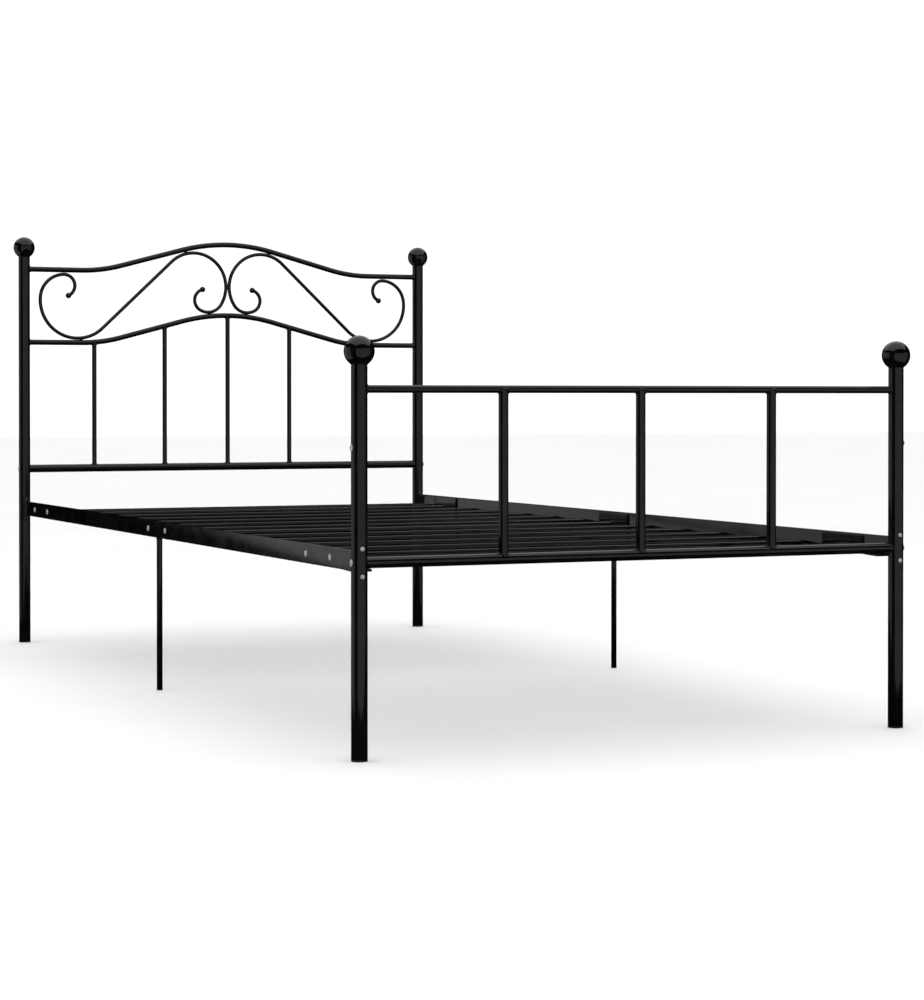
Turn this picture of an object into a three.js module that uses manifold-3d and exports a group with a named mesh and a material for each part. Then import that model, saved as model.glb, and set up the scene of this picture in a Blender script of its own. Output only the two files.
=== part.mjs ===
// A single bed frame in powder-coated steel tube, for a 900 x 2000 mm mattress.
// Millimetres, +Z up, +Y towards the head, +X to the right of someone who stands at the foot.
// The origin is on the floor, in the middle of the bed.

import * as THREE from "three";
import { mergeVertices } from "three/addons/utils/BufferGeometryUtils.js";
import Module from "manifold-3d";

const wasm = await Module();
wasm.setup();

// Overall layout
const POST_SPACING_X = 966; // between post centres across the bed
const POST_SPACING_Y = 2050; // between post centres along the bed
const GAP = 0.3; // clearance between pieces that touch

// Posts, ball finials and foot plugs
const POST_RADIUS = 12.7;
const POST_WALL = 1.2;
const HEAD_POST_TOP = 871.5;
const FOOT_POST_TOP = 603;
const FINIAL_RADIUS = 23.8;
const PLUG_FLANGE = 3;
const PLUG_CHAMFER = 1;
const STEM_LENGTH = 20; // of a plug or a finial inside the tube
const POST_SIDES = 20;

// Curved headboard rails: flat at the posts, then a slope up to a rounded crest in the middle
const RAIL_RADIUS = 6;
const TOP_RAIL_Z = 844;
const LOWER_RAIL_Z = 678.8;
const WAVE_HALF_SPAN = 351; // from the middle of the bed to where the rail starts to rise
const WAVE_SLOPE = 15; // degrees
const WAVE_FOOT_RADIUS = 360;
const WAVE_CREST_RADIUS = 430;
const RAIL_SIDES = 12;
const RAIL_STEP = 3; // degrees of bend in one step of the swept tube

// Straight rails
const BAR_RADIUS = 8.75; // headboard cross rail and footboard bottom rail
const INSERT_LENGTH = 20; // of the threaded insert in each end of those two
const TUBE_WALL = 1.2; // of every rail and baluster
const HEAD_CROSS_RAIL_Z = 392.7;
const FOOT_BOTTOM_RAIL_Z = 301.8;
const FOOT_TOP_RAIL_Z = 566;

// Balusters
const HEAD_BALUSTER_RADIUS = 5.2;
const HEAD_BALUSTERS_X = [-320.5, -153, 0, 153, 320.5];
const FOOT_BALUSTER_RADIUS = 7.8;
const FOOT_BALUSTERS_X = [-POST_SPACING_X / 4, 0, POST_SPACING_X / 4];

// S-scroll of the left half of the headboard, from its outer curl to its inner curl
const SCROLL_RADIUS = 4;
const SCROLL_BALL_RADIUS = 6.5;
const SCROLL_START = [-380.7, 785.8];
const SCROLL_HEADING = 23.6; // degrees above +X
const SCROLL_BENDS = [
  { radius: 25, turn: 157.8 },
  { radius: 56, turn: 83.3 },
  { radius: 86, turn: 138.6 },
  { length: 227.4 },
  { radius: 78, turn: -165.2 },
  { radius: 38, turn: -88.8 },
  { radius: 26, turn: -134.2 },
];
const SCROLL_SIDES = 8;
const SCROLL_STEP = 12; // degrees of bend in one step of the swept rod

// Side rails of steel angle, with a plate welded across each end
const ANGLE_FACE_X = 488; // outer face of the upright flange
const ANGLE_BOTTOM_Z = 288.2;
const ANGLE_SIZE = 32;
const ANGLE_THICKNESS = 3;
const END_PLATE = { inner: 478.5, outer: 489.5, height: 54, thickness: 3, z: 302.2 };
const END_SHOE = { length: 38, thickness: 1.5 }; // stiffens the flange next to an end plate
const ANGLE_CORNER_CUT = { length: 12, height: 5 }; // clears the upper post bolt

// Cross members, with a T-shaped plate at each end
const CROSS_MEMBERS_Y = [-860, 0, 860];
const CROSS_MEMBER_NAMES = ["foot", "middle", "head"];
const CROSS_MEMBER = { width: 25, depth: 15, wall: 2 };
const T_PLATE = { length: 126, height: 26, thickness: 3 };
const STUD_SPACING = 107.2;
const STUD_Z = 303.8;
const STUD_STICKS_OUT = 2.6;
const WELD_OVERLAP = 1; // of two solids that are welded into one

// Slats: folded steel strip, open underneath
const SLAT = { width: 50, height: 8, wall: 1.2, halfLength: 480 };
const SLATS_PER_BAY = 5; // between two cross members
const END_SLAT_Y = 975;

// Middle legs: a thin rod under a small tab
const LEG_RADIUS = 5.5;
const LEG_X = 483;
const LEG_Y = -3;
const LEG_PLATE = { length: 28, width: 14, thickness: 1.5 };
const LEG_PLATE_HOLE_X = 467;

// Bolts
const SHANK_RADIUS = 2.5;
const HOLE_RADIUS = 2.9;
const BOLT_SIDES = 10;
const DOMED_END = 1.5; // height of a bolt's rounded end
const POST_BOLTS_Z = { lower: 281, upper: 323.2 };
const POST_BOLT_STICKS_OUT = 1; // on the far side of an end plate
const POST_HEAD = { radius: 3.6, height: 2.4 };
const RAIL_HEAD = { radius: 5.6, height: 1.6 };
const SPARE_HEAD = { radius: 5.6, height: 0.8 };
const RAIL_BOLT_REACH = 38; // from the post's centre into a rail
const SPARE_BOLT_Z = 476.8;

const POST_X = POST_SPACING_X / 2;
const POST_Y = POST_SPACING_Y / 2;
const POST_BORE = POST_RADIUS - POST_WALL;
const ANGLE_TOP_Z = ANGLE_BOTTOM_Z + ANGLE_SIZE;
const FLANGE_TOP_Z = ANGLE_BOTTOM_Z + ANGLE_THICKNESS;
const ANGLE_INNER_X = ANGLE_FACE_X - ANGLE_THICKNESS;
const FLANGE_EDGE_X = ANGLE_FACE_X - ANGLE_SIZE;
const SEAT_Z = FLANGE_TOP_Z + GAP; // underside of what lies on the side rails
const DECK_TOP_Z = SEAT_Z + SLAT.height;
const PLATE_FAR = POST_RADIUS + GAP + END_PLATE.thickness; // from a post's centre
const SIDES = { left: -1, right: 1 };
const ENDS = { foot: -1, head: 1 };

// ---- Solids ----

function solidOf(geometry) {
  const bare = geometry.clone();
  bare.deleteAttribute("normal");
  bare.deleteAttribute("uv");
  const merged = mergeVertices(bare, 1e-3);
  const mesh = new wasm.Mesh({
    numProp: 3,
    vertProperties: new Float32Array(merged.attributes.position.array),
    triVerts: new Uint32Array(merged.index.array),
  });
  return new wasm.Manifold(mesh);
}

function geometryOf(solid) {
  const mesh = solid.getMesh();
  const geometry = new THREE.BufferGeometry();
  geometry.setAttribute("position", new THREE.BufferAttribute(mesh.vertProperties, 3));
  geometry.setIndex(new THREE.BufferAttribute(mesh.triVerts, 1));
  const faceted = geometry.toNonIndexed();
  faceted.computeVertexNormals();
  return faceted;
}

function cut(geometry, tools) {
  return geometryOf(tools.reduce((solid, tool) => solid.subtract(solidOf(tool)), solidOf(geometry)));
}

function join(geometries) {
  return geometryOf(geometries.map(solidOf).reduce((whole, piece) => whole.add(piece)));
}

// The tool that drills a bolt hole from one point to another.
function hole(from, to) {
  return bar(HOLE_RADIUS, from, to, BOLT_SIDES);
}

// A closed profile of [radius, z] points turned about the Z axis.
function turned(profile, sides) {
  const points = profile.map(([r, z]) => new THREE.Vector2(r, z));
  return new THREE.LatheGeometry(points, sides).rotateX(Math.PI / 2);
}

// A round bar from one point to another along X, Y or Z.
function bar(radius, from, to, sides) {
  const start = new THREE.Vector3(...from);
  const reach = new THREE.Vector3(...to).sub(start);
  const up = new THREE.Vector3(0, 1, 0);
  const turn = new THREE.Quaternion().setFromUnitVectors(up, reach.clone().normalize());
  return new THREE.CylinderGeometry(radius, radius, reach.length(), sides)
    .applyQuaternion(turn)
    .translate(...start.addScaledVector(reach, 0.5).toArray());
}

function block(from, to) {
  const low = new THREE.Vector3(...from);
  const high = new THREE.Vector3(...to);
  const size = high.clone().sub(low);
  return new THREE.BoxGeometry(Math.abs(size.x), Math.abs(size.y), Math.abs(size.z))
    .translate(...low.add(high).multiplyScalar(0.5).toArray());
}

// The centre line of a bent rod in an XZ plane, which starts at [x, z] with a heading in degrees.
// Each bend is a straight { length } or an arc { radius, turn }, anticlockwise when turn is positive.
class BentRod extends THREE.Curve {
  constructor(start, heading, bends, stepDegrees, side = 1) {
    super();
    this.side = side;
    this.stations = [{ x: start[0], z: start[1], heading: THREE.MathUtils.degToRad(heading) }];
    for (const bend of bends) this.addBend(bend, stepDegrees);
  }

  addBend({ length, radius, turn }, stepDegrees) {
    const from = this.stations.at(-1);
    if (length) {
      const x = from.x + length * Math.cos(from.heading);
      const z = from.z + length * Math.sin(from.heading);
      this.stations.push({ x, z, heading: from.heading });
      return;
    }
    const steps = Math.ceil(Math.abs(turn) / stepDegrees);
    const signed = radius * Math.sign(turn);
    const centreX = from.x - signed * Math.sin(from.heading);
    const centreZ = from.z + signed * Math.cos(from.heading);
    for (let step = 1; step <= steps; step++) {
      const heading = from.heading + THREE.MathUtils.degToRad(turn) * (step / steps);
      const x = centreX + signed * Math.sin(heading);
      const z = centreZ - signed * Math.cos(heading);
      this.stations.push({ x, z, heading });
    }
  }

  get steps() {
    return this.stations.length - 1;
  }

  stationAt(t) {
    return this.stations[Math.round(t * this.steps)];
  }

  heightAt(x) {
    const next = this.stations.findIndex((station) => station.x > x);
    const [a, b] = this.stations.slice(next - 1, next + 1);
    return THREE.MathUtils.mapLinear(x, a.x, b.x, a.z, b.z);
  }

  getPointAt(t, target = new THREE.Vector3()) {
    const { x, z } = this.stationAt(t);
    return target.set(this.side * x, 0, z);
  }

  getTangentAt(t, target = new THREE.Vector3()) {
    const { heading } = this.stationAt(t);
    return target.set(this.side * Math.cos(heading), 0, Math.sin(heading));
  }
}

function swept(path, radius, sides) {
  const section = new THREE.Shape(
    Array.from({ length: sides }, (_, i) => {
      const angle = (2 * Math.PI * i) / sides;
      return new THREE.Vector2(radius * Math.cos(angle), radius * Math.sin(angle));
    }),
  );
  return new THREE.ExtrudeGeometry(section, {
    steps: path.steps,
    extrudePath: path,
    bevelEnabled: false,
  });
}

// An outline of [x, z] points drawn out along Y, centred on y = 0.
function extrudedAlongY(outline, length) {
  const shape = new THREE.Shape(outline.map(([x, z]) => new THREE.Vector2(x, z)));
  return new THREE.ExtrudeGeometry(shape, { depth: length, bevelEnabled: false })
    .rotateX(Math.PI / 2)
    .translate(0, length / 2, 0);
}

// ---- Materials ----

const finishes = {
  blackCoat: { color: 0x1b1b1b, roughness: 0.42, metalness: 0.1 },
  blackGloss: { color: 0x161616, roughness: 0.25, metalness: 0.1 },
  blackPlastic: { color: 0x111111, roughness: 0.6, metalness: 0 },
  zinc: { color: 0xc9ccd0, roughness: 0.3, metalness: 0.9 },
};

const bed = new THREE.Group();

function add(parent, name, geometry, finish) {
  const mesh = new THREE.Mesh(geometry, new THREE.MeshStandardMaterial(finishes[finish]));
  mesh.name = name;
  parent.add(mesh);
  return mesh;
}

// ---- Posts ----

function postGeometry(top, sideHoles) {
  const tube = turned(
    [
      [POST_BORE, PLUG_FLANGE + GAP],
      [POST_RADIUS, PLUG_FLANGE + GAP],
      [POST_RADIUS, top],
      [POST_BORE, top],
      [POST_BORE, PLUG_FLANGE + GAP],
    ],
    POST_SIDES,
  );
  const reach = 2 * POST_RADIUS;
  const boltHoles = Object.values(POST_BOLTS_Z).map((z) => hole([0, -reach, z], [0, reach, z]));
  return cut(tube, [...boltHoles, ...sideHoles]);
}

function finialGeometry() {
  const stem = POST_BORE - GAP;
  const centre = Math.sqrt(FINIAL_RADIUS ** 2 - POST_RADIUS ** 2);
  const profile = [
    [0, -STEM_LENGTH],
    [stem, -STEM_LENGTH],
    [stem, 0],
  ];
  const rings = 11;
  const first = Math.asin(-centre / FINIAL_RADIUS);
  for (let ring = 0; ring < rings; ring++) {
    const angle = first + (Math.PI / 2 - first) * (ring / rings);
    profile.push([FINIAL_RADIUS * Math.cos(angle), centre + FINIAL_RADIUS * Math.sin(angle)]);
  }
  profile.push([0, centre + FINIAL_RADIUS]);
  return turned(profile, POST_SIDES);
}

function plugGeometry() {
  const stem = POST_BORE - GAP;
  return turned(
    [
      [0, 0],
      [POST_RADIUS - PLUG_CHAMFER, 0],
      [POST_RADIUS, PLUG_CHAMFER],
      [POST_RADIUS, PLUG_FLANGE],
      [stem, PLUG_FLANGE],
      [stem, PLUG_FLANGE + STEM_LENGTH],
      [0, PLUG_FLANGE + STEM_LENGTH],
    ],
    POST_SIDES,
  );
}

// A bolt along +Z with its head seated on z = 0 and a domed end that starts at the given length.
function boltGeometry(head, length) {
  const profile = [
    [0, -head.height],
    [head.radius * 0.68, -head.height * 0.8],
    [head.radius, -head.height * 0.2],
    [head.radius, 0],
    [SHANK_RADIUS, 0],
    [SHANK_RADIUS, length + DOMED_END * 0.3],
    [SHANK_RADIUS * 0.65, length + DOMED_END * 0.85],
    [0, length + DOMED_END],
  ];
  return turned(profile, BOLT_SIDES);
}

// A bolt through the post and the rail's end plate, with its head on the far side from the bed.
function addPostBolts(post, label, end) {
  const seat = POST_RADIUS + GAP;
  const length = seat + PLATE_FAR + POST_BOLT_STICKS_OUT - DOMED_END;
  for (const [level, z] of Object.entries(POST_BOLTS_Z)) {
    const bolt = add(post, `post_bolt_${label}_${level}`, boltGeometry(POST_HEAD, length), "zinc");
    bolt.rotation.x = (end * Math.PI) / 2;
    bolt.position.set(0, end * seat, z);
  }
}

// A bolt that goes sideways into the post, with its head on the outside.
function addSideBolt(post, name, side, { z, head, reach }) {
  const seat = POST_RADIUS + GAP;
  const bolt = add(post, name, boltGeometry(head, seat + reach), "zinc");
  bolt.rotation.y = (-side * Math.PI) / 2;
  bolt.position.set(side * seat, 0, z);
}

function addPost(endName, sideName) {
  const end = ENDS[endName];
  const side = SIDES[sideName];
  const label = `${endName}_${sideName}`;
  const isHead = endName === "head";
  const top = isHead ? HEAD_POST_TOP : FOOT_POST_TOP;
  const sideBolts = isHead
    ? { cross_rail_bolt: { z: HEAD_CROSS_RAIL_Z, head: RAIL_HEAD, reach: RAIL_BOLT_REACH } }
    : {
        bottom_rail_bolt: { z: FOOT_BOTTOM_RAIL_Z, head: RAIL_HEAD, reach: RAIL_BOLT_REACH },
        spare_bolt: { z: SPARE_BOLT_Z, head: SPARE_HEAD, reach: 0 },
      };
  const post = new THREE.Group();
  post.position.set(side * POST_X, end * POST_Y, 0);
  bed.add(post);
  const sideHoles = Object.values(sideBolts).map(({ z, reach }) =>
    hole([-side * reach, 0, z], [2 * side * POST_RADIUS, 0, z]),
  );
  add(post, `post_${label}`, postGeometry(top, sideHoles), "blackCoat");
  add(post, `ball_finial_${label}`, finialGeometry(), "blackGloss").position.z = top + GAP;
  add(post, `foot_plug_${label}`, plugGeometry(), "blackPlastic");
  addPostBolts(post, label, end);
  for (const [name, bolt] of Object.entries(sideBolts)) {
    addSideBolt(post, `${name}_${label}`, side, bolt);
  }
}

// ---- Headboard and footboard ----

// What a rail's ends are coped to: the two posts, with clearance.
function postTools(z) {
  const half = 4 * BAR_RADIUS;
  return Object.values(SIDES).map((side) =>
    bar(POST_RADIUS + GAP, [side * POST_X, 0, z + half], [side * POST_X, 0, z - half], POST_SIDES),
  );
}

function straightRail(radius, z) {
  return bar(radius, [-POST_X, 0, z], [POST_X, 0, z], RAIL_SIDES);
}

function plainRailGeometry(z) {
  const bore = straightRail(RAIL_RADIUS - TUBE_WALL, z);
  return cut(straightRail(RAIL_RADIUS, z), [...postTools(z), bore]);
}

// A straight tube between the posts, with a threaded insert fixed in each end for its bolt.
function boltedRailGeometry(z) {
  const boreEnd = POST_X - POST_RADIUS - INSERT_LENGTH;
  const bore = bar(BAR_RADIUS - TUBE_WALL, [-boreEnd, 0, z], [boreEnd, 0, z], RAIL_SIDES);
  const holes = Object.values(SIDES).map((side) =>
    hole([side * (boreEnd - 1), 0, z], [side * POST_X, 0, z]),
  );
  return cut(straightRail(BAR_RADIUS, z), [...postTools(z), bore, ...holes]);
}

function curvedRailPath(z) {
  const slope = THREE.MathUtils.degToRad(WAVE_SLOPE);
  const bentRun = (WAVE_FOOT_RADIUS + WAVE_CREST_RADIUS) * Math.sin(slope);
  const flat = { length: POST_X - WAVE_HALF_SPAN };
  const foot = { radius: WAVE_FOOT_RADIUS, turn: WAVE_SLOPE };
  const ramp = { length: (WAVE_HALF_SPAN - bentRun) / Math.cos(slope) };
  const crest = { radius: WAVE_CREST_RADIUS, turn: -2 * WAVE_SLOPE };
  return new BentRod([-POST_X, z], 0, [flat, foot, ramp, crest, ramp, foot, flat], RAIL_STEP);
}

function curvedRailGeometry(z) {
  const path = curvedRailPath(z);
  const bore = swept(path, RAIL_RADIUS - TUBE_WALL, RAIL_SIDES);
  return cut(swept(path, RAIL_RADIUS, RAIL_SIDES), [...postTools(z), bore]);
}

function scrollGeometry(side) {
  const path = new BentRod(SCROLL_START, SCROLL_HEADING, SCROLL_BENDS, SCROLL_STEP, side);
  const balls = [0, 1].map((t) =>
    new THREE.SphereGeometry(SCROLL_BALL_RADIUS, 12, 8).translate(...path.getPointAt(t).toArray()),
  );
  return join([swept(path, SCROLL_RADIUS, SCROLL_SIDES), ...balls]);
}

// An upright tube between two rails, coped to both.
function balusterGeometry(x, radius, bottomZ, topZ, railTools) {
  const bore = bar(radius - TUBE_WALL, [x, 0, bottomZ], [x, 0, topZ], RAIL_SIDES);
  return cut(bar(radius, [x, 0, bottomZ], [x, 0, topZ], RAIL_SIDES), [...railTools, bore]);
}

function addHeadboard() {
  const headboard = new THREE.Group();
  headboard.position.y = POST_Y;
  bed.add(headboard);
  add(headboard, "headboard_top_rail", curvedRailGeometry(TOP_RAIL_Z), "blackCoat");
  add(headboard, "headboard_lower_rail", curvedRailGeometry(LOWER_RAIL_Z), "blackCoat");
  add(headboard, "headboard_cross_rail", boltedRailGeometry(HEAD_CROSS_RAIL_Z), "blackCoat");
  for (const [name, side] of Object.entries(SIDES)) {
    add(headboard, `headboard_scroll_${name}`, scrollGeometry(-side), "blackCoat");
  }
  const lowerRail = curvedRailPath(LOWER_RAIL_Z);
  const tools = [
    swept(lowerRail, RAIL_RADIUS + GAP, RAIL_SIDES),
    straightRail(BAR_RADIUS + GAP, HEAD_CROSS_RAIL_Z),
  ];
  HEAD_BALUSTERS_X.forEach((x, i) => {
    const top = lowerRail.heightAt(x);
    const geometry = balusterGeometry(x, HEAD_BALUSTER_RADIUS, HEAD_CROSS_RAIL_Z, top, tools);
    add(headboard, `headboard_baluster_${i + 1}`, geometry, "blackCoat");
  });
}

function addFootboard() {
  const footboard = new THREE.Group();
  footboard.position.y = -POST_Y;
  bed.add(footboard);
  add(footboard, "footboard_top_rail", plainRailGeometry(FOOT_TOP_RAIL_Z), "blackCoat");
  add(footboard, "footboard_bottom_rail", boltedRailGeometry(FOOT_BOTTOM_RAIL_Z), "blackCoat");
  const tools = [
    straightRail(RAIL_RADIUS + GAP, FOOT_TOP_RAIL_Z),
    straightRail(BAR_RADIUS + GAP, FOOT_BOTTOM_RAIL_Z),
  ];
  FOOT_BALUSTERS_X.forEach((x, i) => {
    const geometry = balusterGeometry(x, FOOT_BALUSTER_RADIUS, FOOT_BOTTOM_RAIL_Z, FOOT_TOP_RAIL_Z, tools);
    add(footboard, `footboard_baluster_${i + 1}`, geometry, "blackCoat");
  });
}

// ---- Base ----

function studPlaces() {
  return CROSS_MEMBERS_Y.flatMap((y) => [y - STUD_SPACING / 2, y + STUD_SPACING / 2]);
}

// Steel angle with its upright flange outside, a plate across each end and holes for studs and bolts.
function sideRailGeometry(side) {
  const halfLength = POST_Y - PLATE_FAR;
  const outline = [
    [ANGLE_FACE_X, ANGLE_BOTTOM_Z],
    [ANGLE_FACE_X, ANGLE_TOP_Z],
    [ANGLE_INNER_X, ANGLE_TOP_Z],
    [ANGLE_INNER_X, FLANGE_TOP_Z],
    [FLANGE_EDGE_X, FLANGE_TOP_Z],
    [FLANGE_EDGE_X, ANGLE_BOTTOM_Z],
  ];
  const angle = extrudedAlongY(outline.map(([x, z]) => [side * x, z]), 2 * halfLength);
  const ends = Object.values(ENDS);
  const corners = ends.map((end) => endCornerTool(side, end, halfLength));
  const fittings = ends.flatMap((end) => endFittings(side, end, halfLength));
  const studHoles = studPlaces().map((y) =>
    hole([side * (ANGLE_INNER_X - 1), y, STUD_Z], [side * (ANGLE_FACE_X + 1), y, STUD_Z]),
  );
  const boltHoles = ends.flatMap((end) =>
    Object.values(POST_BOLTS_Z).map((z) =>
      hole([side * POST_X, end * (halfLength - 1), z], [side * POST_X, end * POST_Y, z]),
    ),
  );
  const legHole = hole(
    [side * LEG_PLATE_HOLE_X, LEG_Y, ANGLE_BOTTOM_Z - 1],
    [side * LEG_PLATE_HOLE_X, LEG_Y, FLANGE_TOP_Z + 1],
  );
  return cut(join([cut(angle, corners), ...fittings]), [...studHoles, ...boltHoles, legHole]);
}

// The plate across one end of a side rail, and the short shoe under the flange beside it.
function endFittings(side, end, halfLength) {
  const halfHeight = END_PLATE.height / 2;
  const plate = block(
    [side * END_PLATE.inner, end * halfLength, END_PLATE.z - halfHeight],
    [side * END_PLATE.outer, end * (halfLength + END_PLATE.thickness), END_PLATE.z + halfHeight],
  );
  const shoe = block(
    [side * FLANGE_EDGE_X, end * (halfLength - END_SHOE.length), ANGLE_BOTTOM_Z - END_SHOE.thickness],
    [side * ANGLE_FACE_X, end * halfLength, ANGLE_BOTTOM_Z + WELD_OVERLAP],
  );
  return [plate, shoe];
}

// The wedge that takes the upper corner off one end of a side rail.
function endCornerTool(side, end, halfLength) {
  const low = ANGLE_TOP_Z - ANGLE_CORNER_CUT.height;
  const shape = new THREE.Shape([
    new THREE.Vector2(halfLength - ANGLE_CORNER_CUT.length, ANGLE_TOP_Z),
    new THREE.Vector2(halfLength, low),
    new THREE.Vector2(halfLength + 1, low),
    new THREE.Vector2(halfLength + 1, ANGLE_TOP_Z + 1),
    new THREE.Vector2(halfLength - ANGLE_CORNER_CUT.length, ANGLE_TOP_Z + 1),
  ]);
  const depth = 3 * ANGLE_THICKNESS;
  return new THREE.ExtrudeGeometry(shape, { depth, bevelEnabled: false })
    .translate(0, 0, -depth / 2)
    .rotateX(Math.PI / 2)
    .rotateZ((end * Math.PI) / 2)
    .translate(side * (ANGLE_FACE_X - ANGLE_THICKNESS / 2), 0, 0);
}

// A channel, open underneath, that lies between the flanges, steps over them and ends in T-shaped plates.
function crossMemberGeometry() {
  const half = CROSS_MEMBER.width / 2;
  const inner = half - CROSS_MEMBER.wall;
  const low = DECK_TOP_Z - CROSS_MEMBER.depth;
  const betweenFlanges = FLANGE_EDGE_X - GAP;
  const webEnd = ANGLE_INNER_X - GAP - T_PLATE.thickness + WELD_OVERLAP;
  const deep = block([-betweenFlanges, -half, low], [betweenFlanges, half, DECK_TOP_Z]);
  const shallow = block([-webEnd, -half, SEAT_Z], [webEnd, half, DECK_TOP_Z]);
  const inside = block([-POST_X, -inner, low - 1], [POST_X, inner, DECK_TOP_Z - CROSS_MEMBER.wall]);
  const channel = cut(join([deep, shallow]), [inside]);
  return join([channel, ...Object.values(SIDES).flatMap(tPlateSolids)]);
}

// A T-shaped plate against the inside of a side rail, with the two studs welded to it.
function tPlateSolids(side) {
  const face = ANGLE_INNER_X - GAP;
  const back = face - T_PLATE.thickness;
  const plate = block(
    [side * back, -T_PLATE.length / 2, SEAT_Z],
    [side * face, T_PLATE.length / 2, SEAT_Z + T_PLATE.height],
  );
  const studs = [-1, 1].map((way) => {
    const y = (way * STUD_SPACING) / 2;
    const from = [side * (face - WELD_OVERLAP), y, STUD_Z];
    return bar(SHANK_RADIUS, from, [side * (ANGLE_FACE_X + STUD_STICKS_OUT), y, STUD_Z], BOLT_SIDES);
  });
  return [plate, ...studs];
}

function slatGeometry() {
  const half = SLAT.width / 2;
  const inner = half - SLAT.wall;
  const underside = DECK_TOP_Z - SLAT.wall;
  const outline = [
    [-half, SEAT_Z],
    [-inner, SEAT_Z],
    [-inner, underside],
    [inner, underside],
    [inner, SEAT_Z],
    [half, SEAT_Z],
    [half, DECK_TOP_Z],
    [-half, DECK_TOP_Z],
  ];
  return extrudedAlongY(outline, 2 * SLAT.halfLength).rotateZ(Math.PI / 2);
}

function slatPlaces() {
  const pitch = CROSS_MEMBERS_Y.at(-1) / (SLATS_PER_BAY + 1);
  const inBay = Array.from({ length: SLATS_PER_BAY }, (_, i) => pitch * (i + 1));
  const headHalf = [...inBay, END_SLAT_Y];
  return [...headHalf.map((y) => -y).reverse(), ...headHalf];
}

function middleLegGeometry(side) {
  const high = ANGLE_BOTTOM_Z - GAP;
  const low = high - LEG_PLATE.thickness;
  const outer = side * ANGLE_FACE_X;
  const inner = outer - side * LEG_PLATE.length;
  const plate = block([outer, -LEG_PLATE.width / 2, low], [inner, LEG_PLATE.width / 2, high]);
  const rod = bar(LEG_RADIUS, [side * LEG_X, 0, 0], [side * LEG_X, 0, low + WELD_OVERLAP], RAIL_SIDES);
  const screwHole = hole([side * LEG_PLATE_HOLE_X, 0, low - 1], [side * LEG_PLATE_HOLE_X, 0, high + 1]);
  return cut(join([plate, rod]), [screwHole]);
}

function addBase() {
  const base = new THREE.Group();
  bed.add(base);
  for (const [name, side] of Object.entries(SIDES)) {
    add(base, `side_rail_${name}`, sideRailGeometry(side), "blackCoat");
    add(base, `middle_leg_${name}`, middleLegGeometry(side), "blackCoat").position.y = LEG_Y;
  }
  CROSS_MEMBERS_Y.forEach((y, i) => {
    const name = CROSS_MEMBER_NAMES[i];
    add(base, `cross_member_${name}`, crossMemberGeometry(), "blackCoat").position.y = y;
  });
  slatPlaces().forEach((y, i) => {
    add(base, `slat_${i + 1}`, slatGeometry(), "blackCoat").position.y = y;
  });
}

for (const endName of Object.keys(ENDS)) {
  for (const sideName of Object.keys(SIDES)) addPost(endName, sideName);
}
addHeadboard();
addFootboard();
addBase();

export default bed;
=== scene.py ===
"""The looks of a black steel single bed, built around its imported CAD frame.

Metres, +Z up, +Y towards the head of the bed, origin on the floor in the middle of the bed.
Each CAD piece is stood for by a smooth one of the same size and place, with its welds, bolt
heads and finish.
"""

import math
import random

import bmesh
import bpy
from mathutils import Matrix, Vector


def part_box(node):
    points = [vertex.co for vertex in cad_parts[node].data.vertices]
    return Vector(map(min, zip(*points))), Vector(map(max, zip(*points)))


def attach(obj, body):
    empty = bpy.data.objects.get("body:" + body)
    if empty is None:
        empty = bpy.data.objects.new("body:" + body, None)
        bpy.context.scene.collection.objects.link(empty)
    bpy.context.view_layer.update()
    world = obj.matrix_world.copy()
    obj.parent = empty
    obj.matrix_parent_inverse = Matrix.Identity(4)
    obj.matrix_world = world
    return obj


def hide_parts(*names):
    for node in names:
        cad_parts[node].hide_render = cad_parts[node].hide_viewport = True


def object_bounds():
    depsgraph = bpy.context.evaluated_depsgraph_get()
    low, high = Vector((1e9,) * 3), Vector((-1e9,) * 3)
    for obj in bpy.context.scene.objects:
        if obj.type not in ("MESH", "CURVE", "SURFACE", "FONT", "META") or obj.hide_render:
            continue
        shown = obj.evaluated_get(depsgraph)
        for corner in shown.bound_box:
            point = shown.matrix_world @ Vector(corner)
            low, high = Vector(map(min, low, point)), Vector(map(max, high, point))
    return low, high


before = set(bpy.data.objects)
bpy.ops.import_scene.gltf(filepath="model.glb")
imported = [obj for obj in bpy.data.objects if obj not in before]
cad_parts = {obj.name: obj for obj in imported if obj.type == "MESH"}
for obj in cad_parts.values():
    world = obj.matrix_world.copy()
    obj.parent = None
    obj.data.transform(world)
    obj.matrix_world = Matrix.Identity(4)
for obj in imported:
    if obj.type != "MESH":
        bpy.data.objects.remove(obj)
CAD_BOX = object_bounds()

X, Y, Z = Vector((1, 0, 0)), Vector((0, 1, 0)), Vector((0, 0, 1))
MM = 0.001
SIDES = {"left": -1, "right": 1}
ENDS = {"foot": -1, "head": 1}
RNG = random.Random(7)

# Round sections are cut into this many sides
BALL_SIDES = 96
POST_SIDES = 72
TUBE_SIDES = 48
BOLT_SIDES = 40
ROD_SIDES = 32
BEAD_SIDES = 10

SEAM = 0.15 * MM  # open line between two parts that are pushed together
SUNK = 0.5 * MM  # a small part reaches this far into the one it is fixed to

# Posts and their ball finials
POST_WALL = 1.2 * MM
POST_RIM = 0.25 * MM  # broken edges of the tube
FINIAL_FILLET = 3 * MM  # where the ball meets its collar
FILLET_START = 177  # in degrees, short of 180 so that the collar has an edge
FINIAL_CLEARANCE = 0.2 * MM

# Foot plugs
PLUG_CLEARANCE = 0.3 * MM
PLUG_TOE = 1 * MM  # rounding of the flange at the floor
PLUG_RIM = 0.3 * MM  # and under the post
PLUG_TIP = 1 * MM  # narrowing at the top of the stem
GRIP_COUNT = 3
GRIP_START = 4 * MM  # above the flange
GRIP_PITCH = 5 * MM
GRIP_HEIGHT = 1.6 * MM
GRIP_DEPTH = 0.6 * MM

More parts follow.
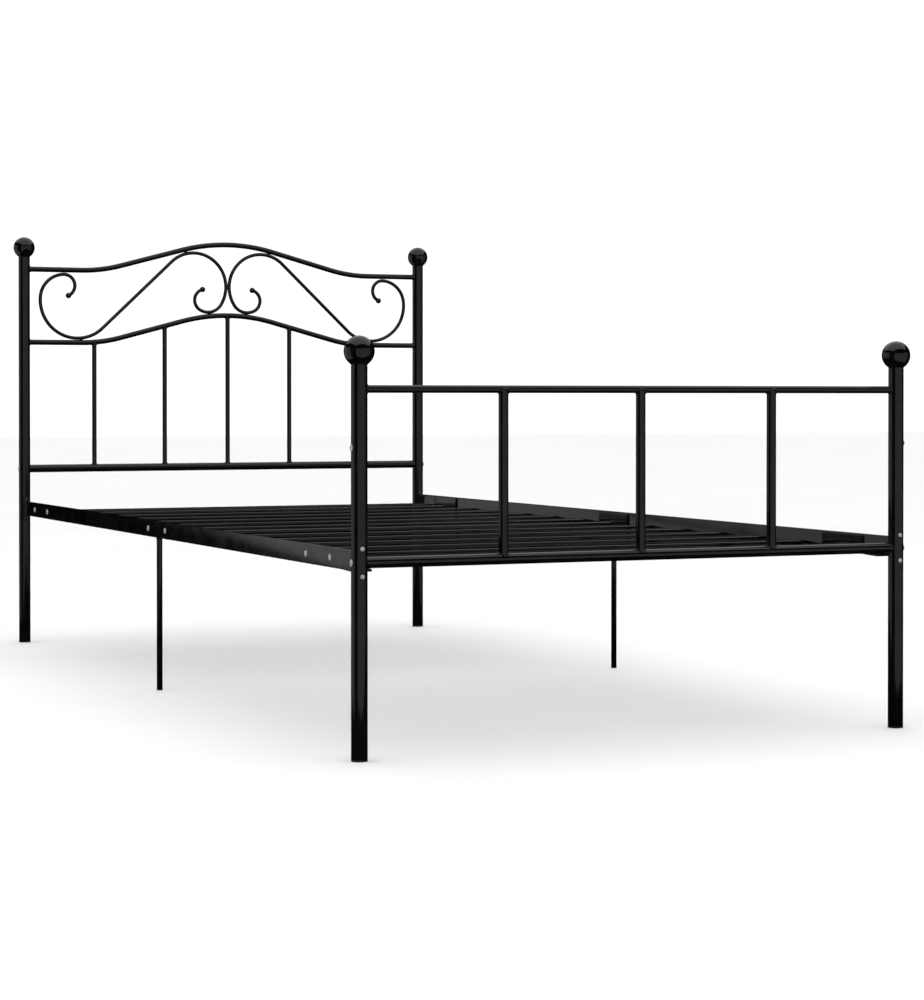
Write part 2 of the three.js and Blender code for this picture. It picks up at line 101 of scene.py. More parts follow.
RAIL_SUNK = 3 * MM  # ends of a headboard or footboard rail inside its posts

# Bends of the curved headboard rails
WAVE_HALF_SPAN = 351 * MM
WAVE_SLOPE = 15
WAVE_FOOT_RADIUS = 360 * MM
WAVE_CREST_RADIUS = 430 * MM

# Bends of the left scroll from its outer curl to its inner curl: (radius, degrees), or
# (length, None) for a straight
SCROLL_START = (-380.7 * MM, 785.8 * MM)
SCROLL_HEADING = 23.6
SCROLL_BENDS = [
    (25 * MM, 157.8),
    (56 * MM, 83.3),
    (86 * MM, 138.6),
    (227.4 * MM, None),
    (78 * MM, -165.2),
    (38 * MM, -88.8),
    (26 * MM, -134.2),
]
SCROLL_ROD = 4 * MM
SCROLL_BALL = 6.5 * MM

# Welds
BEAD = 1.5 * MM  # radius of a weld bead
RIPPLE_PITCH = 1.6 * MM
RIPPLE_HEIGHT = 0.12  # of the bead's radius
CONTACT_GAP = 1.2 * MM  # rods closer than this are welded together
CONTACT_DROP = (6 * MM, 1.6 * MM, 2.6 * MM)  # half sizes along the rods, across and through
NEAR_EDGE = 0.5 * MM  # a seam stops this far short of a square edge
NEAR_BEND = 2 * MM  # and of a rounded one

# Side rails of steel angle
ANGLE_SIZE = 32 * MM
ANGLE_THICKNESS = 3 * MM
ANGLE_RADII = [0.8 * MM, 0.5 * MM, 1.4 * MM, 2.6 * MM, 1.4 * MM, 0.5 * MM]  # round from its heel
ANGLE_DROP = 14 * MM  # underside of the angle below the middle of its end plates
FACE_BEYOND_POST = 5 * MM  # outer face of the angle past the centre of a post
FLANGE_CLEARANCE = 0.3 * MM
END_PLATE_INNER = 478.5 * MM
END_PLATE_OUTER = 489.5 * MM
END_PLATE_THICKNESS = 3 * MM
END_PLATE_HEIGHT = 54 * MM
END_PLATE_BEVEL = 0.6 * MM
END_SHOE_LENGTH = 38 * MM
END_SHOE_THICKNESS = 1.5 * MM
END_SHOE_TIP = 0.2 * MM  # its thickness where it tapers out
HEEL_INSET = 1 * MM  # the welds stay this far from the angle's heel
TOE_WELD_LENGTH = 8 * MM
CORNER_CUT_LENGTH = 12 * MM
CORNER_CUT_HEIGHT = 5 * MM

# Cross members and slats, with their bends given as (outer radius, inner radius)
CHANNEL_WIDTH = 25 * MM
CHANNEL_WALL = 2 * MM
CHANNEL_BENDS = (2.6 * MM, 1 * MM)
CHANNEL_STEP = 0.8 * MM  # run of the slope where the underside steps up over a side rail
CHANNEL_SUNK = 1 * MM  # its ends inside their plates
SHOULDER_CLEARANCE = 0.5 * MM
T_PLATE_LENGTH = 126 * MM
T_PLATE_THICKNESS = 3 * MM
T_PLATE_BEVEL = 0.5 * MM
SLAT_COUNT = 12
SLAT_HEIGHT = 8 * MM
SLAT_WALL = 1.2 * MM
SLAT_BENDS = (2 * MM, 0.8 * MM)

# Middle legs
LEG_ROD = 5.5 * MM
LEG_TOE = 0.8 * MM  # rounding of the rod at the floor
LEG_BEAD = 0.8 * MM
LEG_TAB_THICKNESS = 1.5 * MM
LEG_TAB_LENGTH = 28 * MM
LEG_TAB_BEVEL = 0.4 * MM
LEG_SCREW_X = 467 * MM
LEG_SCREW_LENGTH = 9 * MM

# Fasteners, with their heads given as (radius, height)
SHANK = 2.5 * MM
DOMED_END = 1.5 * MM
POST_HEAD = (3.6 * MM, 2.4 * MM)
RAIL_HEAD = (5.6 * MM, 1.6 * MM)
SPARE_HEAD = (5.6 * MM, 0.8 * MM)
DOME_NUT = (5.4 * MM, 1.8 * MM)
LEG_SCREW_HEAD = (4.5 * MM, 2.4 * MM)
STUD_SPACING = 107.2 * MM
STUD_HEIGHT = 12.3 * MM  # above the underside of a T-shaped plate


# ---- Outlines and paths ----


def round_ring(centre, across, up, radius, sides):
    """Points round centre, in the plane of across and up."""
    turns = [2 * math.pi * i / sides for i in range(sides)]
    return [centre + radius * (math.cos(a) * across + math.sin(a) * up) for a in turns]


def rounded(corners, radii, steps=4):
    """An outline of square corners, each rounded by its own radius."""
    outline = []
    for i, (corner, radius) in enumerate(zip(corners, radii)):
        corner = Vector(corner)
        back = (Vector(corners[i - 1]) - corner).normalized()
        ahead = (Vector(corners[(i + 1) % len(corners)]) - corner).normalized()
        centre = corner + (back + ahead) * radius
        for step in range(steps + 1):
            turn = math.pi / 2 * step / steps
            outline.append(centre - (ahead * math.cos(turn) + back * math.sin(turn)) * radius)
    return outline


def straight_path(start, end):
    """The two stations of (point, heading) at the ends of a straight rod."""
    heading = (end - start).normalized()
    return [(start, heading), (end, heading)]


def bent_path(start, heading, bends, y, side=1, step=2.0):
    """Stations of (point, heading) along a rod bent in an XZ plane, mirrored when side is -1."""
    path = [(*start, math.radians(heading))]
    for size, turn in bends:
        x, z, heading = path[-1]
        if turn is None:
            path.append((x + size * math.cos(heading), z + size * math.sin(heading), heading))
            continue
        count = math.ceil(abs(turn) / step)
        signed = math.copysign(size, turn)
        centre_x = x - signed * math.sin(heading)
        centre_z = z + signed * math.cos(heading)
        for i in range(1, count + 1):
            angle = heading + math.radians(turn) * i / count
            x, z = centre_x + signed * math.sin(angle), centre_z - signed * math.cos(angle)
            path.append((x, z, angle))
    return [
        (Vector((side * x, y, z)), Vector((side * math.cos(angle), 0, math.sin(angle))))
        for x, z, angle in path
    ]


def station_at(path, x):
    """The point and heading where a path crosses x."""
    for (start, heading), (end, _) in zip(path, path[1:]):
        if start.x <= x <= end.x:
            return start.lerp(end, (x - start.x) / (end.x - start.x)), heading
    raise ValueError(f"the path doesn't reach x = {x}")


# ---- Mesh building ----


def skin(bm, rings, closed=False, capped=True):
    """Joins rings that have the same number of points into one surface."""
    rings = [[bm.verts.new(point) for point in ring] for ring in rings]
    following = rings[1:] + rings[:1] if closed else rings[1:]
    for ring, after in zip(rings, following):
        for i in range(len(ring)):
            j = (i + 1) % len(ring)
            bm.faces.new((ring[i], ring[j], after[j], after[i]))
    if capped and not closed:
        bm.faces.new(rings[0])
        bm.faces.new(rings[-1])


def add_tube(bm, path, radius, sides=TUBE_SIDES):
    """A round bar along a path in an XZ plane."""
    skin(bm, [round_ring(point, heading.cross(Y), Y, radius, sides) for point, heading in path])


def add_turned(bm, profile, base, axis=Z, sides=TUBE_SIDES):
    """Turns a profile of (radius, height) about an axis through base."""
    across = axis.orthogonal().normalized()
    up = axis.cross(across)
    rings = [round_ring(base + axis * height, across, up, radius, sides) for radius, height in profile]
    skin(bm, rings, capped=False)


def add_block(bm, low, high, bevel):
    """A box with softened edges."""
    low, high = Vector(low), Vector(high)
    size = [abs(n) for n in high - low]
    placed = Matrix.Translation((low + high) / 2) @ Matrix.Diagonal((*size, 1))
    corners = bmesh.ops.create_cube(bm, size=1, matrix=placed)["verts"]
    edges = list(dict.fromkeys(edge for corner in corners for edge in corner.link_edges))
    bmesh.ops.bevel(bm, geom=edges, offset=bevel, segments=3, profile=0.7, affect="EDGES")


def arc(centre, radius, start, end, steps):
    """Points of (radius, height) on an arc, with its angles in degrees above the horizontal."""
    turns = [math.radians(start + (end - start) * i / steps) for i in range(steps + 1)]
    return [(centre[0] + radius * math.cos(a), centre[1] + radius * math.sin(a)) for a in turns]


def add_weld(bm, crossing, host_axis, away, rod, host):
    """A bead round a rod where it leaves a tube. away points along the rod from where the axes meet."""
    level = (host_axis - away * host_axis.dot(away)).normalized()
    across = away.cross(level)
    slant = away - host_axis * away.dot(host_axis)
    ripples = round(2 * math.pi * rod / RIPPLE_PITCH)
    count = 5 * ripples
    start = RNG.uniform(0, 2 * math.pi)
    rings = []
    for i in range(count):
        turn = 2 * math.pi * i / count
        outward = level * math.cos(turn) + across * math.sin(turn)
        flat = outward * rod - host_axis * (outward.dot(host_axis) * rod)
        lean = flat.dot(slant)
        room = slant.length_squared * (host**2 - flat.length_squared)
        reach = (math.sqrt(max(lean**2 + room, 0)) - lean) / slant.length_squared
        swell = 1 + RIPPLE_HEIGHT * math.sin(ripples * turn) + 0.1 * math.sin(2 * turn + start)
        point = crossing + outward * rod + away * reach
        rings.append(round_ring(point, outward, away, BEAD * swell, BEAD_SIDES))
    skin(bm, rings, closed=True)


def add_level_weld(bm, centre, rod, size):
    """A bead round an upright rod where it meets a level plate."""
    ripples = round(2 * math.pi * rod / RIPPLE_PITCH)
    rings = []
    for i in range(5 * ripples):
        turn = 2 * math.pi * i / (5 * ripples)
        outward = X * math.cos(turn) + Y * math.sin(turn)
        swell = 1 + RIPPLE_HEIGHT * math.sin(ripples * turn)
        rings.append(round_ring(centre + outward * rod, outward, Z, size * swell, BEAD_SIDES))
    skin(bm, rings, closed=True)


def add_seam(bm, start, end, up):
    """A straight bead with tapered ends. up is square to it."""
    length = (end - start).length
    heading = (end - start).normalized()
    count = max(12, round(5 * length / RIPPLE_PITCH))
    rings = []
    for i in range(count + 1):
        share = i / count
        taper = min(1, math.sqrt(min(share, 1 - share) * length / BEAD + 0.05))
        swell = 1 + RIPPLE_HEIGHT * math.sin(2 * math.pi * share * length / RIPPLE_PITCH)
        point = start.lerp(end, share)
        rings.append(round_ring(point, heading.cross(up), up, BEAD * taper * swell, BEAD_SIDES))
    skin(bm, rings)


def add_drop(bm, centre, heading, sizes):
    """A drop of weld metal, with its half sizes along the heading, square to it and along Y."""
    turned = Matrix((heading, heading.cross(Y), Y)).transposed().to_4x4()
    placed = Matrix.Translation(centre) @ turned @ Matrix.Diagonal((*sizes, 1))
    bmesh.ops.create_uvsphere(bm, u_segments=24, v_segments=16, radius=1, matrix=placed)


def new_piece(name, bm, material, nodes=(), sharp=35, second=None):
    """Finishes a mesh as a piece of the bed that stands for the CAD nodes.

    Its edges sharper than sharp degrees stay sharp, and its faces of index 1 take the second material.
    """
    bmesh.ops.remove_doubles(bm, verts=bm.verts, dist=0.001 * MM)
    bmesh.ops.recalc_face_normals(bm, faces=bm.faces)
    mesh = bpy.data.meshes.new(name)
    bm.to_mesh(mesh)
    bm.free()
    mesh.materials.append(material)
    if second:
        mesh.materials.append(second)
    mesh.shade_smooth()
    mesh.set_sharp_from_angle(angle=math.radians(sharp))
    piece = bpy.data.objects.new(name, mesh)
    bpy.context.scene.collection.objects.link(piece)
    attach(piece, "root")
    if nodes:
        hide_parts(*nodes)
    return piece


# ---- Materials ----


class Nodes:
    """Short ways to add nodes to a tree."""

    def __init__(self, tree):
        self.tree = tree

    def give(self, socket, value):
        """Sets a socket to a number or a colour, or links another node's output to it."""
        if isinstance(value, bpy.types.NodeSocket):
            self.tree.links.new(value, socket)
        elif isinstance(value, tuple):
            socket.default_value = (*value, 1)
        else:
            socket.default_value = value

    def math(self, operation, *values):
        node = self.tree.nodes.new("ShaderNodeMath")
        node.operation = operation
        for socket, value in zip(node.inputs, values):
            self.give(socket, value)
        return node.outputs[0]

    def ranged(self, value, low, high, to_low=0.0, to_high=1.0):
        """Eases to_low...to_high over low...high, held at both ends."""
        node = self.tree.nodes.new("ShaderNodeMapRange")
        node.interpolation_type = "SMOOTHSTEP"
        self.tree.links.new(value, node.inputs["Value"])
        node.inputs["From Min"].default_value = low
        node.inputs["From Max"].default_value = high
        node.inputs["To Min"].default_value = to_low
        node.inputs["To Max"].default_value = to_high
        return node.outputs["Result"]


class Finish(Nodes):
    """A material whose nodes work in the bed's own coordinates, in metres."""

    def __init__(self, name):
        self.material = bpy.data.materials.new(name)
        self.material.use_nodes = True
        super().__init__(self.material.node_tree)
        self.shader = self.tree.nodes["Principled BSDF"]
        self.place = self.tree.nodes.new("ShaderNodeTexCoord").outputs["Object"]

    def noise(self, size, detail=2.0, roughness=0.5, stretch=None):
        """Noise with features of about this size."""
        node = self.tree.nodes.new("ShaderNodeTexNoise")
        node.inputs["Scale"].default_value = 1 / size
        node.inputs["Detail"].default_value = detail
        node.inputs["Roughness"].default_value = roughness
        place = self.place
        if stretch:
            mapping = self.tree.nodes.new("ShaderNodeMapping")
            mapping.inputs["Scale"].default_value = stretch
            self.tree.links.new(place, mapping.inputs["Vector"])
            place = mapping.outputs["Vector"]
        self.tree.links.new(place, node.inputs["Vector"])
        return node.outputs["Fac"]

    def cells(self, size):
        """Crystal-like cells of about this size."""
        node = self.tree.nodes.new("ShaderNodeTexVoronoi")
        node.inputs["Scale"].default_value = 1 / size
        self.tree.links.new(self.place, node.inputs["Vector"])
        return node.outputs["Distance"]

    def height(self):
        """Height above the floor."""
        node = self.tree.nodes.new("ShaderNodeSeparateXYZ")
        self.tree.links.new(self.place, node.inputs[0])
        return node.outputs["Z"]

    def mixed(self, share, first, second):
        """A colour between two colours or colour outputs."""
        node = self.tree.nodes.new("ShaderNodeMix")
        node.data_type = "RGBA"
        self.tree.links.new(share, node.inputs["Factor"])
        colours = [socket for socket in node.inputs if socket.type == "RGBA"]
        for socket, value in zip(colours, (first, second)):
            self.give(socket, value)
        return next(socket for socket in node.outputs if socket.type == "RGBA")

    def bump(self, height, depth, under=None):
        """A bump of this depth in metres, on top of another bump's normal."""
        node = self.tree.nodes.new("ShaderNodeBump")
        node.inputs["Strength"].default_value = 1
        node.inputs["Distance"].default_value = depth
        self.tree.links.new(height, node.inputs["Height"])
        if under:
            self.tree.links.new(under, node.inputs["Normal"])
        return node.outputs["Normal"]

    def set(self, **inputs):
        """Sets the shader's inputs, by name with _ for a space: a number, a colour or an output."""
        for name, value in inputs.items():
            self.give(self.shader.inputs[name.replace("_", " ")], value)
        return self.material


def coat_material():
    """Smooth black powder coat: faint orange peel, slightly uneven gloss, rub marks near the floor."""
    finish = Finish("black_powder_coat")
    tone = finish.ranged(finish.noise(60 * MM, 3), 0.35, 0.65, 0.0, 1.0)
    coat = finish.mixed(tone, (0.0014, 0.0014, 0.0015), (0.0030, 0.0029, 0.0028))
    rubs = finish.ranged(finish.noise(6 * MM, 5, 0.65, (1, 1, 0.35)), 0.62, 0.74, 0.0, 1.0)
    low = finish.ranged(finish.height(), 0.004, 0.09, 0.9, 0.12)
    worn = finish.math("MULTIPLY", rubs, low)
    colour = finish.mixed(worn, coat, (0.012, 0.0115, 0.011))
    gloss = finish.ranged(finish.noise(25 * MM, 4), 0.3, 0.7, 0.08, 0.13)
    dulled = finish.math("MULTIPLY", worn, 0.16)
    peel = finish.bump(finish.noise(2.4 * MM, 1.5), 0.006 * MM)
    grain = finish.bump(finish.noise(0.5 * MM, 2), 0.0008 * MM, under=peel)
    return finish.set(
        Base_Color=colour,
        Roughness=finish.math("ADD", gloss, dulled),
        IOR=1.5,
        Normal=grain,
    )


def gloss_material():
    """Deep gloss of the moulded ball finials, with fine swirl marks."""
    finish = Finish("black_gloss")
    tone = finish.ranged(finish.noise(20 * MM, 3), 0.35, 0.65, 0.0, 1.0)
    colour = finish.mixed(tone, (0.0012, 0.0012, 0.0013), (0.0028, 0.0027, 0.0027))
    swirls = finish.ranged(finish.noise(1.2 * MM, 4, 0.7, (1, 1, 4)), 0.55, 0.75, 0.0, 0.05)
    gloss = finish.ranged(finish.noise(9 * MM, 3), 0.3, 0.7, 0.07, 0.11)
    return finish.set(
        Base_Color=colour,
        Roughness=finish.math("ADD", gloss, swirls),
        IOR=1.5,
        Normal=finish.bump(finish.noise(5 * MM, 1), 0.008 * MM),
    )


def plastic_material():
    """Matt black polythene of the foot plugs, fine-grained and greyed where it rubs the floor."""
    finish = Finish("black_plastic")
    tone = finish.ranged(finish.noise(7 * MM, 4), 0.35, 0.65, 0.0, 1.0)
    fresh = finish.mixed(tone, (0.006, 0.006, 0.006), (0.011, 0.011, 0.0115))
    scuffs = finish.ranged(finish.noise(1.5 * MM, 5, 0.7), 0.5, 0.7, 0.0, 1.0)
    worn = finish.math("MULTIPLY", scuffs, finish.ranged(finish.height(), 0.0, 0.0016, 0.8, 0.0))
    return finish.set(
        Base_Color=finish.mixed(worn, fresh, (0.05, 0.048, 0.046)),
        Roughness=finish.ranged(finish.noise(4 * MM, 3), 0.3, 0.7, 0.45, 0.6),
        IOR=1.5,
        Normal=finish.bump(finish.noise(0.35 * MM, 2), 0.01 * MM),
    )


def zinc_material():
    """Bright zinc plating: fine crystals, a slightly cloudy sheen and tool marks."""
    finish = Finish("zinc_plate")
    cloud = finish.ranged(finish.noise(3 * MM, 4), 0.3, 0.7, 0.0, 1.0)
    plate = finish.mixed(cloud, (0.60, 0.61, 0.62), (0.76, 0.765, 0.77))
    stains = finish.ranged(finish.noise(1.6 * MM, 5, 0.7), 0.6, 0.78, 0.0, 0.5)
    marks = finish.bump(finish.noise(0.7 * MM, 3), 0.02 * MM)
    crystals = finish.bump(finish.cells(0.35 * MM), 0.006 * MM, under=marks)
    return finish.set(
        Base_Color=finish.mixed(stains, plate, (0.38, 0.37, 0.35)),
        Metallic=0.75,
        Roughness=finish.ranged(finish.noise(1.1 * MM, 3), 0.3, 0.7, 0.34, 0.48),
        Normal=crystals,
    )


def thread_material():
    """Dull steel of the bolts' threaded ends, kept very dark."""
    finish = Finish("dark_thread")
    oil = finish.ranged(finish.noise(1.5 * MM, 4), 0.3, 0.7, 0.0, 1.0)
    return finish.set(
        Base_Color=finish.mixed(oil, (0.05, 0.048, 0.045), (0.09, 0.088, 0.085)),
        Metallic=0.6,
        Roughness=finish.ranged(finish.noise(0.9 * MM, 3), 0.3, 0.7, 0.4, 0.6),
        Normal=finish.bump(finish.noise(0.5 * MM, 2), 0.02 * MM),
    )


def floor_material():
    """Pale studio floor."""
    finish = Finish("studio_floor")
    tone = finish.ranged(finish.noise(0.9, 3), 0.3, 0.7, 0.0, 1.0)
    return finish.set(
        Base_Color=finish.mixed(tone, (0.90, 0.90, 0.90), (0.92, 0.92, 0.92)),
        Roughness=0.6,
        Normal=finish.bump(finish.noise(1.5 * MM, 2), 0.02 * MM),
    )


def shadow_mat_material():
    """Matt black of the mat that only reflections show: painted shadow that stands for the shaded floor
    round the bed.
    """
    finish = Finish("painted_shadow_mat")
    tone = finish.noise(0.2, 2)
    return finish.set(
        Base_Color=finish.mixed(tone, (0.002, 0.002, 0.002), (0.004, 0.004, 0.004)),
        Roughness=0.9,
        Specular_IOR_Level=0.0,
    )


COAT = coat_material()
GLOSS = gloss_material()
PLASTIC = plastic_material()
ZINC = zinc_material()
THREAD = thread_material()


# ---- Posts ----

POST_PLUG = {name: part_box(f"foot_plug_{name}") for name in [f"{e}_{s}" for e in ENDS for s in SIDES]}
POST_RADIUS = (POST_PLUG["foot_left"][1].x - POST_PLUG["foot_left"][0].x) / 2


def post_centre(name):
    low, high = POST_PLUG[name]
    return Vector(((low.x + high.x) / 2, (low.y + high.y) / 2, 0))


def make_post(name):
    """The tube, open at both ends with its rims slightly broken."""
    bottom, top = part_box(f"post_{name}")[0].z, finial_seam(name) - SEAM
    bore = POST_RADIUS - POST_WALL
    profile = [
        (bore, bottom),
        (POST_RADIUS - POST_RIM, bottom),
        (POST_RADIUS, bottom + POST_RIM),
        (POST_RADIUS, top - POST_RIM),
        (POST_RADIUS - POST_RIM, top),
        (bore, top),
        (bore, bottom),
    ]
    bm = bmesh.new()
    add_turned(bm, profile, post_centre(name), sides=POST_SIDES)
    new_piece(f"fine_post_{name}", bm, COAT, [f"post_{name}"])


def finial_shape(name):
    """Radius of a finial's ball, height of its centre, and height of its fillet's centre."""
    low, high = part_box(f"ball_finial_{name}")
    radius = (high.x - low.x) / 2
    centre = high.z - radius
    reach = math.sqrt((radius + FINIAL_FILLET) ** 2 - (POST_RADIUS + FINIAL_FILLET) ** 2)
    return radius, centre, centre - reach


def finial_seam(name):
    """Height of the line where a finial's collar sits on its post."""
    return finial_shape(name)[2]


def make_finial(name):
    """A ball that flows into a collar as wide as the post, with a stem inside the tube."""
    radius, centre, fillet = finial_shape(name)
    stem = POST_RADIUS - POST_WALL - FINIAL_CLEARANCE
    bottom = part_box(f"ball_finial_{name}")[0].z
    meets = math.degrees(math.atan2(centre - fillet, -(POST_RADIUS + FINIAL_FILLET)))
    collar = fillet + SEAM
    profile = [(0, bottom), (stem, bottom), (stem, collar), (POST_RADIUS - SEAM, collar)]
    profile += arc((POST_RADIUS + FINIAL_FILLET, fillet), FINIAL_FILLET, FILLET_START, meets, 6)
    profile += arc((0, centre), radius, meets - 180, 90, 48)
    bm = bmesh.new()
    add_turned(bm, profile, post_centre(name), sides=BALL_SIDES)
    new_piece(f"fine_ball_finial_{name}", bm, GLOSS, [f"ball_finial_{name}"], 50)


def make_plug(name):
    """A push-in foot with a rounded flange and grip rings on its stem."""
    low, high = POST_PLUG[name]
    stem = POST_RADIUS - POST_WALL - PLUG_CLEARANCE
    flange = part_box(f"post_{name}")[0].z - SEAM
    profile = [(0, low.z)]
    profile += arc((POST_RADIUS - PLUG_TOE, low.z + PLUG_TOE), PLUG_TOE, -90, 0, 6)
    profile += arc((POST_RADIUS - PLUG_RIM, flange - PLUG_RIM), PLUG_RIM, 0, 90, 3)
    profile += [(stem, flange)]
    for i in range(GRIP_COUNT):
        start = flange + GRIP_START + GRIP_PITCH * i
        end = start + GRIP_HEIGHT
        profile += [(stem - GRIP_DEPTH, start), (stem, (start + end) / 2), (stem, end)]
    profile += [(stem - PLUG_TIP, high.z), (0, high.z)]
    bm = bmesh.new()
    add_turned(bm, profile, post_centre(name), sides=POST_SIDES)
    new_piece(f"fine_foot_plug_{name}", bm, PLASTIC, [f"foot_plug_{name}"])


# ---- Bolts ----


def quarter(steps):
    """Angles from 0 to a right angle."""
    return [math.pi / 2 * i / steps for i in range(steps + 1)]


def dome(size):
    """Profile of a round head of (radius, height), from its top down to its seat."""
    radius, height = size
    lip = 0.2 * height
    points = [(radius * math.cos(a), lip + (height - lip) * math.sin(a)) for a in quarter(8)]
    return [*reversed(points), (radius, 0)]


def shank_end(length):
    """Profile of a shank that goes down length from its seat and ends in a dome."""
    crown = [(SHANK * math.cos(a), DOMED_END * (1 - math.sin(a)) - length) for a in quarter(6)]
    return [(SHANK, 0), *crown]


def make_bolt(node, outward, head):
    """A bolt with its round head facing outward and a dull shank."""
    low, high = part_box(node)
    length = abs((high - low).dot(outward))
    seat = (low + high) / 2 + outward * (length / 2 - head[1])
    bm = bmesh.new()
    add_turned(bm, shank_end(length - head[1]), seat, outward, BOLT_SIDES)
    for face in bm.faces:
        face.material_index = 1
    add_turned(bm, [*dome(head), (SHANK, 0)], seat, outward, BOLT_SIDES)
    new_piece(f"fine_{node}", bm, ZINC, [node], second=THREAD)


def make_posts():
    for name in POST_PLUG:
        end, side = name.split("_")
        make_post(name)
        make_finial(name)
        make_plug(name)
        for level in ("lower", "upper"):
            make_bolt(f"post_bolt_{name}_{level}", Y * ENDS[end], POST_HEAD)
        if end == "head":
            make_bolt(f"cross_rail_bolt_{name}", X * SIDES[side], RAIL_HEAD)
        else:
            make_bolt(f"bottom_rail_bolt_{name}", X * SIDES[side], RAIL_HEAD)
            make_bolt(f"spare_bolt_{name}", X * SIDES[side], SPARE_HEAD)


# ---- Headboard and footboard ----

POST_X = post_centre("foot_right").x
RAIL_REACH = POST_X - POST_RADIUS + RAIL_SUNK


def rail_line(node):
    """Centre line and radius of a straight rail along X."""
    low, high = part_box(node)
    middle = (low + high) / 2
    start, end = [Vector((side * RAIL_REACH, middle.y, middle.z)) for side in SIDES.values()]
    return straight_path(start, end), (high.z - low.z) / 2


def curved_line(node):
    """Centre line and radius of a curved headboard rail, which is lowest at the posts."""
    low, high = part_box(node)
    radius = (high.y - low.y) / 2
    slope = math.radians(WAVE_SLOPE)
    bent_run = (WAVE_FOOT_RADIUS + WAVE_CREST_RADIUS) * math.sin(slope)
    flat = (RAIL_REACH - WAVE_HALF_SPAN, None)
    foot = (WAVE_FOOT_RADIUS, WAVE_SLOPE)
    ramp = ((WAVE_HALF_SPAN - bent_run) / math.cos(slope), None)
    crest = (WAVE_CREST_RADIUS, -2 * WAVE_SLOPE)
    bends = [flat, foot, ramp, crest, ramp, foot, flat]
    start = (-RAIL_REACH, low.z + radius)
    return bent_path(start, 0, bends, (low.y + high.y) / 2, step=1.0), radius


def make_rail(node, line, welded):
    """A rail between two posts, with a bead round each end if it is welded rather than bolted."""
    path, radius = line
    bm = bmesh.new()
    add_tube(bm, path, radius)
    if welded:
        for side in SIDES.values():
            crossing = Vector((side * POST_X, path[0][0].y, path[0][0].z))
            add_weld(bm, crossing, Z, X * -side, radius, POST_RADIUS)
    new_piece(f"fine_{node}", bm, COAT, [node])


def make_baluster(node, lower, upper):
    """An upright tube with a bead at each end, between two rails given as (path, radius)."""
    low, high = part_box(node)
    x = (low.x + high.x) / 2
    radius = (high.x - low.x) / 2
    bottom, bottom_heading = station_at(lower[0], x)
    top, top_heading = station_at(upper[0], x)
    bm = bmesh.new()
    add_tube(bm, straight_path(bottom, top), radius)
    add_weld(bm, bottom, bottom_heading, Z, radius, lower[1])
    add_weld(bm, top, top_heading, -Z, radius, upper[1])
    new_piece(f"fine_{node}", bm, COAT, [node])


def scroll_line(y, side):
    return bent_path(SCROLL_START, SCROLL_HEADING, SCROLL_BENDS, y, side, step=3.0)


def contacts(path, host, reach):
    """Where two rods touch: the place halfway and the heading, for each stretch of path that does."""
    places = []
    touching = None
    for point, heading in path:
        near = min((other for other, _ in host), key=lambda other: (other - point).length)
        gap = (near - point).length - reach
        if gap > CONTACT_GAP:
            if touching:
                places.append(touching[1:])
            touching = None
        elif touching is None or gap < touching[0]:
            touching = (gap, (near + point) / 2, heading)
    return places + ([touching[1:]] if touching else [])


def make_scroll(node, side, top, lower):
    """An S-shaped rod with a ball on each end, welded to both curved rails and to its mirror image."""
    y = top[0][0][0].y
    path = scroll_line(y, side)
    bm = bmesh.new()
    add_tube(bm, path, SCROLL_ROD, ROD_SIDES)
    ball = arc((0, 0), SCROLL_BALL, -90, 90, 20)
    for point, heading in (path[0], path[-1]):
        add_turned(bm, ball, point, heading, ROD_SIDES)
    hosts = [top, lower]
    if side == 1:
        hosts.append((scroll_line(y, -side), SCROLL_ROD))
    for line, radius in hosts:
        for place, heading in contacts(path, line, radius + SCROLL_ROD):
            add_drop(bm, place, heading, CONTACT_DROP)
    new_piece(f"fine_{node}", bm, COAT, [node])


def make_headboard():
    top = curved_line("headboard_top_rail")
    lower = curved_line("headboard_lower_rail")
    cross = rail_line("headboard_cross_rail")
    make_rail("headboard_top_rail", top, welded=True)
    make_rail("headboard_lower_rail", lower, welded=True)
    make_rail("headboard_cross_rail", cross, welded=False)
    make_scroll("headboard_scroll_left", 1, top, lower)
    make_scroll("headboard_scroll_right", -1, top, lower)
    for i in range(1, 6):
        make_baluster(f"headboard_baluster_{i}", cross, lower)


def make_footboard():
    top = rail_line("footboard_top_rail")
    bottom = rail_line("footboard_bottom_rail")
    make_rail("footboard_top_rail", top, welded=True)
    make_rail("footboard_bottom_rail", bottom, welded=False)
    for i in range(1, 4):
        make_baluster(f"footboard_baluster_{i}", bottom, top)


# ---- Base ----

RAIL_FACE = POST_X + FACE_BEYOND_POST


